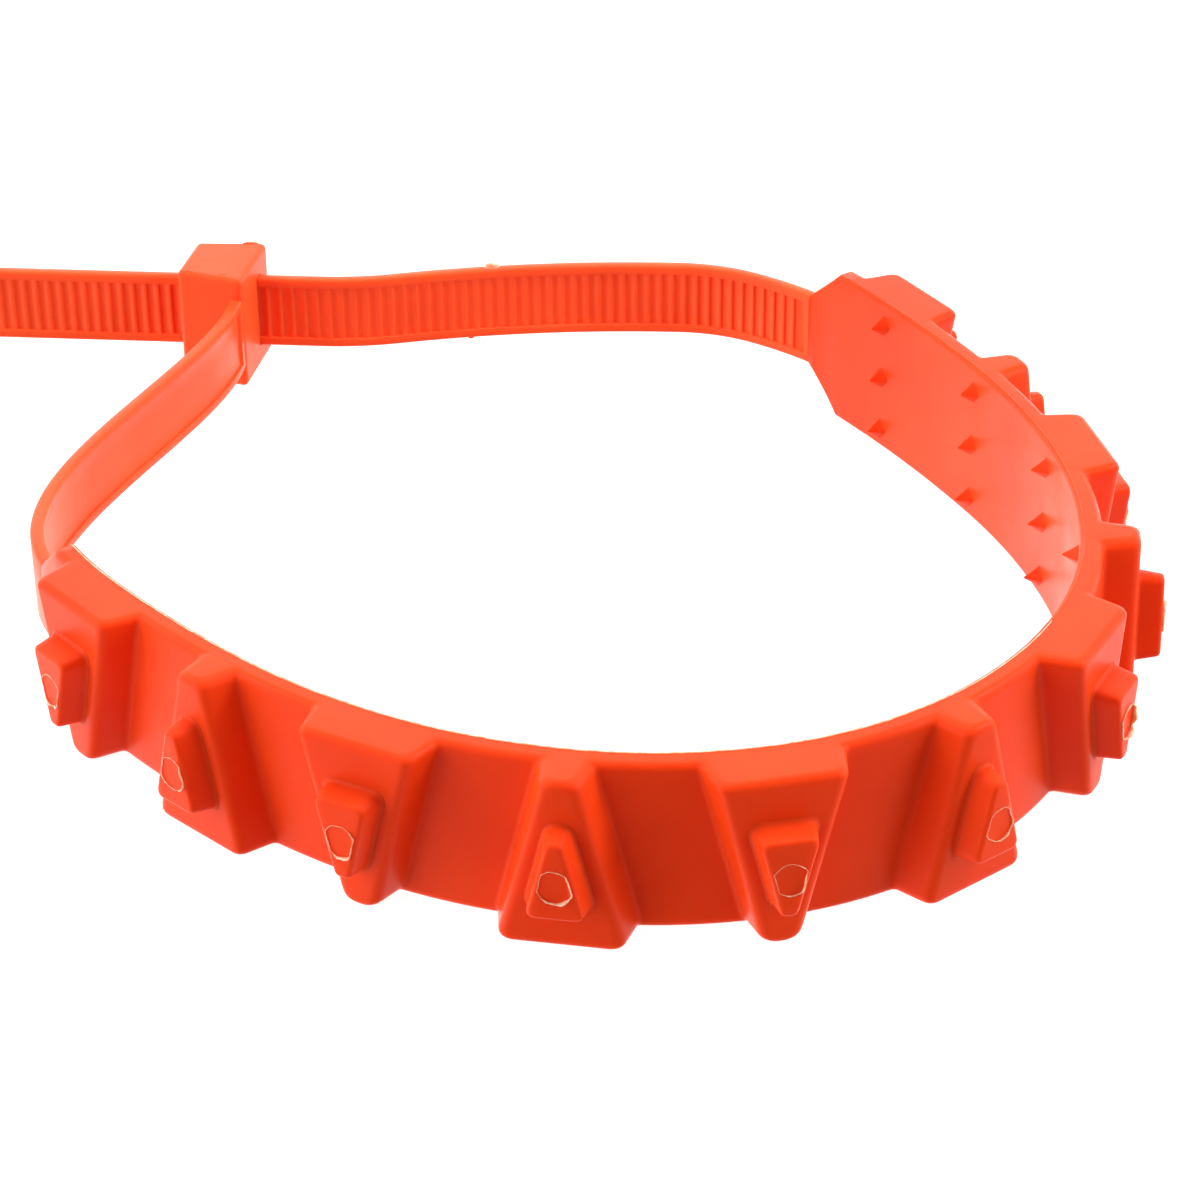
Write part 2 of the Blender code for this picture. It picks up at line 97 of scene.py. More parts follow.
# Straps
STRAP_WIDTH = 12.0 * MM
STRAP_THICK = 2.0 * MM
RAIL_WIDTH = 1.5 * MM
NECK_RECESS = 0.5 * MM
LADDER_RUNS = ((11.5 * MM, 11.0), (13.0 * MM, 29.0), (46.0 * MM, 16.0), (12.5 * MM, -16.75))
GUIDE_LENGTH = 49.0 * MM
GUIDE_BEFORE_HEAD = 15.0 * MM
TAIL_RUNS = ((25.0 * MM, 0.0), (60.0 * MM, 14.0), (90.0 * MM, 34.0), (120.0 * MM, 52.0),
             (80.0 * MM, 24.0))
TAIL_POINT_LENGTH = 15.0 * MM
TAIL_POINT_SHARE = 0.35
NECK_HANDLES = (27.2 * MM, 24.7 * MM)
NECK_ARRIVAL = 84.0
LADDER_PITCH = 2.0 * MM
CREST_RECESS = 0.2 * MM
TOOTH_DEPTH = 0.45 * MM
STEEP_FACE_OFFSET = 1.0 * MM

# Head, in its own axes: E along the strap towards the tail, N towards the neck
HEAD_EXIT_CORNERS = ((5.5 * MM, -5.0 * MM), (6.9 * MM, 6.2 * MM))      # back, front
HEAD_ENTRY_CORNERS = ((-5.8 * MM, -5.5 * MM), (-4.0 * MM, 9.3 * MM))
HEAD_BOTTOM, HEAD_TOP = 3.0 * MM, 22.0 * MM
HEAD_ROUND = 0.9 * MM
SLOT_CLEARANCE = 0.15 * MM
CUT_REACH = 12.0 * MM
NECK_FROM_ENTRY_CORNER = 1.15 * MM
PAWL_HALF_WIDTH = 3.8 * MM
CHAMBER_DEPTH = 5.6 * MM
CHAMBER_START = -3.8 * MM

MID_HEIGHT = BAND_WIDTH / 2


# ---------------------------------------------------------------- layout in plan

def arc_point(x, y, heading, curvature, distance):
    turn = curvature * distance
    chord = distance if abs(turn) < 1e-9 else distance * math.sin(turn / 2) / (turn / 2)
    middle = heading + turn / 2
    return (x + chord * math.cos(middle), y + chord * math.sin(middle), heading + turn)


class Route:
    """A line in plan made of arcs (length, bend in degrees), read at any distance along it."""

    def __init__(self, runs, start):
        self.arcs = []
        self.length = 0.0
        self.end = start
        for length, bend in runs:
            curvature = math.radians(bend) / length
            self.arcs.append((self.length, *self.end, curvature))
            self.end = arc_point(*self.end, curvature, length)
            self.length += length

    def at(self, distance):
        start, x, y, heading, curvature = next(
            (arc for arc in reversed(self.arcs) if arc[0] <= distance), self.arcs[0])
        return arc_point(x, y, heading, curvature, distance - start)


def beside(station, offset):
    """The point at offset to the right of a station, which is the outside of the loop."""
    x, y, heading = station
    return Vector((x + offset * math.sin(heading), y - offset * math.cos(heading)))


def band_route():
    """The band's centreline, placed so that the point midway between lugs 4 and 5 is the origin."""
    runs = [HEAD_END_TAPER, HEAD_END_RUN, *[(LUG_PITCH, bend) for bend in BENDS_BETWEEN_LUGS],
            LADDER_END_RUN, LADDER_END_TAPER]
    x, y, heading = Route(runs, (0.0, 0.0, 0.0)).at(ORIGIN_DISTANCE)
    start = Matrix.Rotation(-heading, 2) @ Vector((-x, -y))
    return Route(runs, (start.x, start.y, -heading))


FIRST_LUG = HEAD_END_TAPER[0] + HEAD_END_RUN[0]
ORIGIN_DISTANCE = FIRST_LUG + (LUGS_LEFT_OF_ORIGIN - 0.5) * LUG_PITCH
BAND = band_route()
LADDER = Route([*LADDER_RUNS, (GUIDE_LENGTH, 0.0), *TAIL_RUNS], BAND.end)
GUIDE_START = sum(length for length, _ in LADDER_RUNS)
HEAD_AT = GUIDE_START + GUIDE_BEFORE_HEAD
PIVOT_AT = GUIDE_START + GUIDE_LENGTH
GUIDE_HEADING = LADDER.at(HEAD_AT)[2]
ALONG = Vector((math.cos(GUIDE_HEADING), math.sin(GUIDE_HEADING)))
INWARD = Vector((-math.sin(GUIDE_HEADING), math.cos(GUIDE_HEADING)))
HEAD_CENTRE = Vector(LADDER.at(HEAD_AT)[:2])


def lug_distance(index):
    return FIRST_LUG + index * LUG_PITCH


def head_point(e, n):
    """Plan position of a point given in the head's axes."""
    return HEAD_CENTRE + ALONG * e + INWARD * n


def check_layout():
    """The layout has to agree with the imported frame, or every piece would sit in the wrong place."""
    tolerance = 0.3 * MM
    joints = {joint["name"]: joint for joint in frame["joints"]}
    pivot = Vector(joints["tail_flex"]["pos_m"]).xy
    if (pivot - Vector(LADDER.at(PIVOT_AT)[:2])).length > tolerance:
        raise ValueError("the ladder's layout doesn't meet the packed tail pivot")
    for index in range(LUG_COUNT):
        low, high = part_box(f"lug_{index + 1:02d}")
        foot = beside(BAND.at(lug_distance(index)), BAND_THICK / 2 + LUG_HEIGHT / 2)
        if not (low.x < foot.x < high.x and low.y < foot.y < high.y):
            raise ValueError(f"lug {index + 1} isn't where the packed frame has it")


# ---------------------------------------------------------------- mesh helpers

def conic(start, corner, end, steps):
    """The points between start and end of a round that would meet in a corner."""
    points = []
    for i in range(1, steps):
        t = i / steps
        points.append(start * (1 - t) ** 2 + corner * 2 * t * (1 - t) + end * t ** 2)
    return points


def edge_inset(distance, radius):
    """How far a rounded edge lies inside the sharp one, at a distance from the end face."""
    left = radius - min(max(distance, 0.0), radius)
    return radius - math.sqrt(radius ** 2 - left ** 2)


def loft(name, rings, closed=False):
    """A skin over rings of equally many points, with flat ends unless it closes on itself."""
    vertices = [tuple(point) for ring in rings for point in ring]
    size, total = len(rings[0]), len(vertices)
    faces = []
    for r in range(len(rings) if closed else len(rings) - 1):
        here, there = r * size, (r + 1) * size % total
        for k in range(size):
            n = (k + 1) % size
            faces.append((here + k, here + n, there + n, there + k))
    if not closed:
        faces.append(tuple(reversed(range(size))))
        faces.append(tuple(range(total - size, total)))
    mesh = bpy.data.meshes.new(name)
    mesh.from_pydata(vertices, [], faces)
    return finish_mesh(name, mesh)


def finish_mesh(name, mesh):
    bm = bmesh.new()
    bm.from_mesh(mesh)
    bmesh.ops.recalc_face_normals(bm, faces=bm.faces)
    bm.to_mesh(mesh)
    bm.free()
    mesh.shade_smooth()
    piece = bpy.data.objects.new(name, mesh)
    bpy.context.scene.collection.objects.link(piece)
    return piece


def crease(piece, degrees):
    piece.data.set_sharp_from_angle(angle=math.radians(degrees))
    return piece


def flat_faces_stay_flat(piece):
    """Weighs normals by face area, so that a round doesn't shade into the flat beside it."""
    weigh = piece.modifiers.new("Face weight", "WEIGHTED_NORMAL")
    weigh.keep_sharp = True
    return piece


def join(name, pieces):
    """Several meshes as one piece."""
    bm = bmesh.new()
    for piece in pieces:
        bm.from_mesh(piece.data)
        bpy.data.objects.remove(piece, do_unlink=True)
    mesh = bpy.data.meshes.new(name)
    bm.to_mesh(mesh)
    bm.free()
    return finish_mesh(name, mesh)


def at_height(point, height):
    return Vector((point.x, point.y, height))


# ---------------------------------------------------------------- materials

ORANGE = (0.82, 0.048, 0.0058)
STRAP_ORANGE_PAINTED_LIGHT = (0.90, 0.080, 0.018)      # the band's plastic painted lighter, as painted light for the brighter light on the straps and the head
# The band's plastic painted lighter still, as painted light for the brighter light on the ladder.
LADDER_ORANGE_PAINTED_LIGHT = (0.92, 0.092, 0.023)


def new_material(name):
    """A material with its nodes, links and main shader."""
    material = bpy.data.materials.new(name)
    material.use_nodes = True
    nodes = material.node_tree.nodes
    return material, nodes, material.node_tree.links, nodes["Principled BSDF"]


def add_noise(material, scale, detail):
    """A noise texture fixed to the object's own coordinates."""
    nodes, links = material.node_tree.nodes, material.node_tree.links
    place = nodes.new("ShaderNodeTexCoord")
    texture = nodes.new("ShaderNodeTexNoise")
    texture.inputs["Scale"].default_value = scale
    texture.inputs["Detail"].default_value = detail
    links.new(place.outputs["Object"], texture.inputs["Vector"])
    return texture.outputs["Fac"]


def spread_between(material, source, low, high):
    """Stretches a noise's middle range to run from low to high."""
    nodes, links = material.node_tree.nodes, material.node_tree.links
    ranged = nodes.new("ShaderNodeMapRange")
    ranged.inputs["From Min"].default_value = 0.3
    ranged.inputs["From Max"].default_value = 0.7
    ranged.inputs["To Min"].default_value = low
    ranged.inputs["To Max"].default_value = high
    links.new(source, ranged.inputs["Value"])
    return ranged.outputs["Result"]


def add_bump(material, height, strength, depth, below=None):
    """A bump of the given depth, laid over another one where there is one below."""
    nodes, links = material.node_tree.nodes, material.node_tree.links
    bump = nodes.new("ShaderNodeBump")
    bump.inputs["Strength"].default_value = strength
    bump.inputs["Distance"].default_value = depth
    links.new(height, bump.inputs["Height"])
    if below is not None:
        links.new(below, bump.inputs["Normal"])
    return bump.outputs["Normal"]


def make_translucent(shader, weight, radius, scale):
    shader.inputs["Subsurface Weight"].default_value = weight
    shader.inputs["Subsurface Radius"].default_value = radius
    shader.inputs["Subsurface Scale"].default_value = scale


def moulded_plastic(name, colour, roughness=0.36):
    """Satin moulded plastic: slight flow clouds in the colour, fine grain and a soft uneven gloss."""
    material, nodes, links, shader = new_material(name)
    clouds = add_noise(material, 45.0, 3.0)
    grain = add_noise(material, 2600.0, 2.0)
    waves = add_noise(material, 160.0, 2.0)
    red, green, blue = colour
    mix = nodes.new("ShaderNodeMix")
    mix.data_type = "RGBA"
    mix.inputs["A"].default_value = (*[c * 0.93 for c in colour], 1.0)
    mix.inputs["B"].default_value = (min(1.0, red * 1.04), green * 1.18, blue * 1.2, 1.0)
    links.new(spread_between(material, clouds, 0.0, 1.0), mix.inputs["Factor"])
    links.new(mix.outputs["Result"], shader.inputs["Base Color"])
    links.new(spread_between(material, waves, roughness - 0.04, roughness + 0.06), shader.inputs["Roughness"])
    shader.inputs["Specular IOR Level"].default_value = 0.07
    make_translucent(shader, 0.35, (1.0, 0.28, 0.1), 1.6 * MM)
    fine = add_bump(material, grain, 0.10, 0.03 * MM)
    links.new(add_bump(material, waves, 0.25, 0.08 * MM, below=fine), shader.inputs["Normal"])
    return material


def pale_flash(name):
    """Torn mould flash: so thin that it looks pale and lets light through."""
    material, nodes, links, shader = new_material(name)
    colours = nodes.new("ShaderNodeValToRGB")
    darker, paler = colours.color_ramp.elements
    darker.position, darker.color = 0.35, (0.88, 0.29, 0.11, 1.0)
    paler.position, paler.color = 0.62, (0.90, 0.61, 0.43, 1.0)
    links.new(add_noise(material, 900.0, 2.0), colours.inputs["Fac"])
    links.new(colours.outputs["Color"], shader.inputs["Base Color"])
    shader.inputs["Roughness"].default_value = 0.4
    make_translucent(shader, 0.4, (1.0, 0.7, 0.5), 0.5 * MM)
    return material


BAND_PLASTIC = moulded_plastic("band_plastic", ORANGE)
# The straps, the ladder and the head take the orange painted lighter, as painted light.
STRAP_PLASTIC = moulded_plastic("strap_plastic", STRAP_ORANGE_PAINTED_LIGHT, roughness=0.34)
LADDER_PLASTIC = moulded_plastic("ladder_plastic", LADDER_ORANGE_PAINTED_LIGHT)
HEAD_PLASTIC = moulded_plastic("head_plastic", STRAP_ORANGE_PAINTED_LIGHT, roughness=0.38)
PAWL_PLASTIC = moulded_plastic("pawl_plastic", tuple(0.9 * c for c in STRAP_ORANGE_PAINTED_LIGHT), roughness=0.40)
FLASH = pale_flash("flash_plastic")


def dress(piece, material):
    """Gives a piece its one material."""
    piece.data.materials.clear()
    piece.data.materials.append(material)


# ---------------------------------------------------------------- tread band

EDGE_STEPS = (0.0, 0.04, 0.13, 0.28, 0.48, 0.75, 1.05, 1.4, 2.0)   # millimetres in from an edge
EDGE_ZONE = EDGE_STEPS[-1] * MM
MIDDLE_STEPS = 8


def height_levels():
    """Each level is (share of the half-width, distance kept from the edge), from bottom to top."""
    middle = [2 * i / MIDDLE_STEPS - 1 for i in range(1, MIDDLE_STEPS)]
    return ([(-1.0, step * MM) for step in EDGE_STEPS] + [(share, EDGE_ZONE) for share in middle]
            + [(1.0, step * MM) for step in reversed(EDGE_STEPS)])


def level_height(level, half_width):
    share, kept = level
    return MID_HEIGHT + share * (half_width - kept)


def edge_distance(level, half_width):
    return half_width - abs(level_height(level, half_width) - MID_HEIGHT)


def taper_share(distance):
    """0 at either end of the band, 1 where it has its full width."""
    return min(1.0, distance / HEAD_END_TAPER[0], (BAND.length - distance) / LADDER_END_TAPER[0])


def half_width_at(distance):
    return (STRAP_WIDTH + (BAND_WIDTH - STRAP_WIDTH) * taper_share(distance)) / 2


def half_thick_at(distance):
    return (STRAP_THICK + (BAND_THICK - STRAP_THICK) * taper_share(distance)) / 2


def from_lug(index, along, out):
    x, y, heading = BAND.at(lug_distance(index))
    forward = Vector((math.cos(heading), math.sin(heading)))
    return beside((x, y, heading), out) + forward * along


def lug_is_wide_on_top(index):
    return index % 2 == 0


def lug_half_width(index, height, kept):
    share = height / BAND_WIDTH if lug_is_wide_on_top(index) else 1 - height / BAND_WIDTH
    corner = LUG_TOP_CORNER if height > MID_HEIGHT else LUG_BOTTOM_CORNER
    return (LUG_NARROW + (LUG_WIDE - LUG_NARROW) * share) / 2 - edge_inset(kept, corner)


def lug_side(index, side, half, kept):
    """The section's line up one side of a lug: fillet, wall and rounded edge, ending on the face."""
    skin = BAND_THICK / 2 - edge_inset(kept, OUTER_EDGE_ROUND)
    out = BAND_THICK / 2 + LUG_HEIGHT - edge_inset(kept, LUG_END_ROUND)
    foot_at = lug_distance(index) + side * (half + LUG_DRAFT)
    foot = beside(BAND.at(foot_at), skin)
    fillet_end = beside(BAND.at(foot_at + side * LUG_FILLET), skin)
    corner = from_lug(index, side * half, out)
    wall = (corner - foot).normalized()
    inner = (from_lug(index, 0.0, out) - corner).normalized()
    fillet_top = foot + wall * LUG_FILLET
    round_start = corner - wall * LUG_SIDE_ROUND
    round_end = corner + inner * min(LUG_SIDE_ROUND, 0.8 * half)
    return [fillet_end, *conic(fillet_end, foot, fillet_top, 6), fillet_top,
            (fillet_top + round_start) / 2, round_start,
            *conic(round_start, corner, round_end, 5), round_end]


def lug_contour(index, level):
    height = level_height(level, BAND_WIDTH / 2)
    kept = edge_distance(level, BAND_WIDTH / 2)
    half = lug_half_width(index, height, kept)
    left = lug_side(index, -1, half, kept)
    right = lug_side(index, 1, half, kept)
    face = [left[-1].lerp(right[-1], share) for share in (0.25, 0.5, 0.75)]
    return [at_height(point, height) for point in left + face + right[::-1]]


def lug_reach(index, level):
    """Distance along the band from a lug's middle to the end of its fillet, at one level."""
    half = lug_half_width(index, level_height(level, BAND_WIDTH / 2), edge_distance(level, BAND_WIDTH / 2))
    return half + LUG_DRAFT + LUG_FILLET


def bare_point(distance, level, side):
    """A point on the band's own outer (+1) or inner (-1) face."""
    half_width = half_width_at(distance)
    kept = edge_distance(level, half_width)
    radius = OUTER_EDGE_ROUND if side > 0 else INNER_EDGE_ROUND
    offset = half_thick_at(distance) - edge_inset(kept, radius)
    return at_height(beside(BAND.at(distance), side * offset), level_height(level, half_width))


def spread(start, end, count):
    """Evenly spaced values between start and end, without either."""
    return [start + (end - start) * i / (count + 1) for i in range(1, count + 1)]


def outer_line(level):
    """The band's outer side at one level, lugs included, from its left end to its right end."""
    taper_in = [HEAD_END_TAPER[0] * i / 6 for i in range(7)]
    taper_out = [BAND.length - LADDER_END_TAPER[0] * i / 6 for i in range(6, -1, -1)]
    line = [bare_point(distance, level, 1) for distance in taper_in]
    before = taper_in[-1]
    for index in range(LUG_COUNT):
        start = lug_distance(index) - lug_reach(index, level)
        count = 2 if index == 0 else 6
        line += [bare_point(distance, level, 1) for distance in spread(before, start, count)]
        line += lug_contour(index, level)
        before = lug_distance(index) + lug_reach(index, level)
    line += [bare_point(distance, level, 1) for distance in taper_out]
    return line


def distances_beside(line):
    """Where each point of an outer line lies along the band, read square to the band."""
    distances = []
    distance = 0.0
    for point in line:
        while distance < BAND.length:
            x, y, heading = BAND.at(distance)
            ahead = (point.x - x) * math.cos(heading) + (point.y - y) * math.sin(heading)
            if ahead <= 0.001 * MM:
                break
            distance += max(0.01 * MM, 0.5 * ahead)
        distances.append(min(distance, BAND.length))
    return distances


def make_band():
    """Band and lugs as the one moulding they are, so that fillets and colour run on across them."""
    levels = height_levels()
    outer = [outer_line(level) for level in levels]
    inner = [[bare_point(distance, level, -1) for distance in distances_beside(line)]
             for level, line in zip(levels, outer)]
    rings = [list(column) for column in zip(*outer, *reversed(inner))]
    band = flat_faces_stay_flat(loft("tread_band_skin", rings))
    dress(band, BAND_PLASTIC)
    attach(band, "band")
    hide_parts("tread_band", *[f"lug_{i + 1:02d}" for i in range(LUG_COUNT)])


# ---------------------------------------------------------------- tips, scars and spikes

TIP_CORNER_STEPS, TIP_SIDE_STEPS = 6, 7


def tip_ring(grow):
    """A tip's outline (along, up) with its wide end up, grown outwards, with round corners."""
    slant = math.atan2((TIP_WIDE - TIP_NARROW) / 2, TIP_LENGTH)
    wide = TIP_WIDE / 2 + grow * (1 + math.sin(slant)) / math.cos(slant)
    narrow = TIP_NARROW / 2 + grow * (1 - math.sin(slant)) / math.cos(slant)
    end = TIP_LENGTH / 2 + grow
    corners = [Vector((wide, end)), Vector((-wide, end)), Vector((-narrow, -end)), Vector((narrow, -end))]
    reaches = [max(0.1 * MM, TIP_WIDE_CORNER + grow)] * 2 + [max(0.1 * MM, TIP_NARROW_CORNER + grow)] * 2
    starts = [corner + (corners[i - 1] - corner).normalized() * reach
              for i, (corner, reach) in enumerate(zip(corners, reaches))]
    ring = []
    for i, corner in enumerate(corners):
        n = (i + 1) % 4
        stop = corner + (corners[n] - corner).normalized() * reaches[i]
        side = [stop.lerp(starts[n], k / TIP_SIDE_STEPS) for k in range(1, TIP_SIDE_STEPS)]
        ring += [starts[i], *conic(starts[i], corner, stop, TIP_CORNER_STEPS), stop, *side]
    return ring


def tip_point(index, place, lift):
    """A point on a tip, given as (along the band, up from its middle) and lifted off the lug's face."""
    along, up = place
    upwards = up if lug_is_wide_on_top(index) else -up
    return at_height(from_lug(index, along, BAND_THICK / 2 + LUG_HEIGHT + lift), MID_HEIGHT + upwards)


SCAR_RADIUS = 2.35 * MM
SCAR_SINK = 0.12 * MM
SCAR_TOWARDS_WIDE_END = 0.6 * MM     # on the tips that are narrow on top; it is centred on the others


def scar_place(index, turn, radius):
    """A point of the gate scar's ring, which the tip's two sides flatten."""
    middle = 0.0 if lug_is_wide_on_top(index) else SCAR_TOWARDS_WIDE_END
    up = middle + radius * math.sin(turn)
    half_width = (TIP_NARROW + (TIP_WIDE - TIP_NARROW) * (0.5 + up / TIP_LENGTH)) / 2
    limit = (half_width - TIP_EDGE_ROUND) * radius / SCAR_RADIUS
    return Vector((max(-limit, min(limit, radius * math.cos(turn))), up))


def tip_levels():
    """(growth, lift) of each outline of a tip: hidden root, fillet, wall and rounded edge."""
    levels = [(TIP_DRAFT + 0.8 * TIP_FILLET, -0.6 * MM)]
    for turn in map(math.radians, (8, 25, 45, 65, 90)):
        levels.append((TIP_DRAFT + TIP_FILLET * (1 - math.sin(turn)),
                       TIP_FILLET * (1 - math.cos(turn)) - 0.01 * MM))
    wall_top = TIP_HEIGHT - TIP_EDGE_ROUND
    levels.append((0.5 * TIP_DRAFT, (TIP_FILLET + wall_top) / 2))
    for turn in map(math.radians, (0, 22, 45, 68, 90)):
        levels.append((-TIP_EDGE_ROUND * (1 - math.cos(turn)), wall_top + TIP_EDGE_ROUND * math.sin(turn)))
    return levels


def make_tip(index):
    """A tip with its fillet and rounded edge, and the shallow dish of the gate scar in its face."""
    rings = [[tip_point(index, place, lift) for place in tip_ring(grow)] for grow, lift in tip_levels()]
    middle = scar_place(index, 0.0, 0.0)
    turns = [math.atan2(*(place - middle).yx) for place in tip_ring(-TIP_EDGE_ROUND)]
    for share, sunk in ((1.0, 0.0), (0.94, 0.4), (0.88, 0.9), (0.8, 1.0), (0.4, 1.0)):
        radius, lift = share * SCAR_RADIUS, TIP_HEIGHT - sunk * SCAR_SINK
        rings.append([tip_point(index, scar_place(index, turn, radius), lift) for turn in turns])
    tip = flat_faces_stay_flat(loft(f"grip_tip_skin_{index + 1:02d}", rings))
    dress(tip, BAND_PLASTIC)
    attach(tip, "band")
    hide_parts(f"grip_tip_{index + 1:02d}")


# The torn fin round each scar, lug by lug, in millimetres: its least height and what its high side adds
FIN_FEET = (0.03, 0.03, 0.03, 0.03, 0.03, 0.03, 0.2, 0.3, 0.35, 0.1, 0.05)
FIN_HEIGHTS = (0.35, 0.45, 0.45, 0.45, 0.35, 0.35, 0.5, 0.6, 0.6, 0.5, 0.45)
TORN_SIDE = math.radians(-25)        # where the fin stands highest, in the tip's (along, up) axes


def noise_round(turn, scale, seed):
    """Noise that joins up after a full turn."""
    return noise.noise(Vector((scale * math.cos(turn), scale * math.sin(turn), seed)))


def make_scar(index):
    """The torn edge left where the moulding was cut from its gate: a thin uneven wall in a ring."""
    count = 120
    rings = []
    torn_side = TORN_SIDE if lug_is_wide_on_top(index) else -TORN_SIDE
    for i in range(count):
        turn = 2 * math.pi * i / count
        facing = 0.5 + 0.5 * math.cos(turn - torn_side)
        ragged = noise_round(turn, 1.7, 7.3 * index) + 0.35 * noise_round(turn, 9.0, 3.7 * index)
        height = (FIN_FEET[index] + FIN_HEIGHTS[index] * max(0.0, facing ** 1.5 + 0.8 * ragged - 0.25)) * MM
        thick = 0.03 * MM + 0.10 * height
        wobble = 0.06 * noise_round(turn, 1.9, 5.1 * index) + 0.02 * noise_round(turn, 8.0, index)
        radius = SCAR_RADIUS * (1 + wobble)
        section = ((-thick, -0.15 * MM), (thick, -0.15 * MM), (thick + 0.2 * height, 0.6 * height),
                   (0.35 * height, height), (0.2 * height - thick, 0.6 * height))
        rings.append([tip_point(index, scar_place(index, turn, radius + out), TIP_HEIGHT + lift)
                      for out, lift in section])
    scar = loft(f"gate_scar_{index + 1:02d}", rings, closed=True)
    dress(scar, FLASH)
    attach(scar, "band")


# A spike's outline from foot to point: size as a share of its foot, lift in millimetres
SPIKE_PROFILE = ((1.16, -0.25), (1.12, -0.02), (1.03, 0.05), (0.96, 0.14), (0.5, 1.12),
                 (0.14, 2.06), (0.07, 2.2), (0.03, SPIKE_HEIGHT / MM - 0.16))


def spike_ring(size):
    """A square standing on its corner (along, up), with its corners rounded."""
    reach = SPIKE_HALF_DIAGONAL * size
    corners = [Vector((reach * math.cos(turn), reach * math.sin(turn)))
               for turn in (0, math.pi / 2, math.pi, 3 * math.pi / 2)]
    ring = []
    for i, corner in enumerate(corners):
        start = corner.lerp(corners[i - 1], 0.12)
        end = corner.lerp(corners[(i + 1) % 4], 0.12)
        ring += [start, *conic(start, corner, end, 2), end]
    return ring


def make_spikes(index):
    """Three pyramids in a row across the inner face, each with a softened foot, edges and point."""
    spikes = []
    for row in SPIKE_ROWS:
        rings = [[at_height(from_lug(index, along, -BAND_THICK / 2 - lift * MM), row + up)
                  for along, up in spike_ring(size)] for size, lift in SPIKE_PROFILE]
        spikes.append(loft("spike", rings))
    group = crease(join(f"inner_spikes_{index + 1:02d}", spikes), 40)
    dress(group, BAND_PLASTIC)
    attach(group, "band")


RIM_FLASH_FROM_EDGE = 0.62 * MM
RIM_FLASH_FADE = 25.0 * MM           # it dies out over this length at its far end
RIM_FLASH_STEP = 0.4 * MM
RIM_FLASH_SECTION = ((0.075, -0.05), (0.04, 0.5), (-0.07, 1.0), (-0.1, 0.5), (-0.075, -0.05))


def make_rim_flash(name, first, last, material, tallest):
    """The mould's parting line along the band's inner top edge: a thin torn fin of uneven height."""
    count = round((last - first) / RIM_FLASH_STEP)
    rings = []
    for i in range(count + 1):
        distance = first + (last - first) * i / count
        where = Vector((distance / MM * 0.55, 0.0, 0.0))
        height = tallest * (1.0 + 0.7 * noise.noise(where) + 0.4 * noise.noise(where * 4.0))
        height = max(0.012 * MM, height * min(1.0, (last - distance) / RIM_FLASH_FADE))
        wander = 0.06 * MM * noise.noise(Vector((distance / MM * 0.12, 5.0, 0.0)))
        middle = RIM_FLASH_FROM_EDGE - half_thick_at(distance) + wander
        top = MID_HEIGHT + half_width_at(distance)
        ring = []
        for across, up in RIM_FLASH_SECTION:
            rise = up * MM if up < 0 else height * up
            ring.append(at_height(beside(BAND.at(distance), middle + across * MM), top + rise))
        rings.append(ring)
    fin = loft(name, rings)
    dress(fin, material)
    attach(fin, "band")


# ---------------------------------------------------------------- straps

def strap_section(half_width, depth, shrink=0.0):
    """A strap's closed section (offset, up): flat outside, two rails and a sunk floor inside."""
    outside = STRAP_THICK / 2 - shrink
    inside = -STRAP_THICK / 2 + shrink
    half = half_width - shrink
    soft, rail_soft, nick = 0.45 * MM, 0.4 * MM, min(0.18 * MM, depth / 2)
    wall = half_width - min(RAIL_WIDTH, 0.4 * half_width)
    floor = inside + depth
    outer_edge = [(outside, half - soft), (outside - 0.3 * soft, half - 0.3 * soft), (outside - soft, half)]
    rail = [(inside + rail_soft, half), (inside + 0.3 * rail_soft, half - 0.3 * rail_soft),
            (inside, half - rail_soft), (inside, wall + nick), (inside + 0.3 * nick, wall + 0.3 * nick)]
    recess = [(inside + nick, wall), (floor - nick / 2, wall - 0.02 * MM), (floor, wall - nick),
              (floor, wall / 2)]
    upper = outer_edge + rail + recess
    lower = [(offset, -up) for offset, up in reversed(upper)]
    return [(outside, 0.0), *upper, (floor, 0.0), *lower]


def strap_ring(station, section):
    """A strap's section placed upright, square to its route."""
    return [at_height(beside(station, offset), MID_HEIGHT + up) for offset, up in section]


PLAIN = 0.02 * MM                    # a recess this shallow reads as none
ROOT_LENGTH, ROOT_SHRINK = 1.5 * MM, 0.12 * MM     # a strap runs on inside the band by this much, thinner


def ladder_profile():
    """(distance, floor depth) along the ladder: a saw-tooth with softened corners."""
    crest, floor = CREST_RECESS, CREST_RECESS + 0.8 * TOOTH_DEPTH
    tooth = ((0.0, floor), (0.08, floor - 0.08 * MM), (0.14, crest + 0.1 * MM), (0.26, crest),
             (0.62, crest), (0.8, crest + 0.08 * MM), (1.12, floor - 0.06 * MM), (1.3, floor))
    points = []
    steep = (HEAD_AT + STEEP_FACE_OFFSET) % LADDER_PITCH + LADDER_PITCH
    while steep < LADDER.length - TAIL_POINT_LENGTH:
        points += [(steep + along * MM, depth) for along, depth in tooth]
        steep += LADDER_PITCH
    return points


TAIL_POINT_STEPS = 14


def tail_point(last_tooth):
    """(distance, half-width) from the last tooth to the tail's narrow end."""
    start = last_tooth + 0.5 * MM
    points = []
    for i in range(1, TAIL_POINT_STEPS + 1):
        distance = start + (LADDER.length - start) * i / TAIL_POINT_STEPS
        share = min(1.0, (LADDER.length - distance) / TAIL_POINT_LENGTH)
        points.append((distance, STRAP_WIDTH / 2 * (TAIL_POINT_SHARE + (1 - TAIL_POINT_SHARE) * share)))
    return points


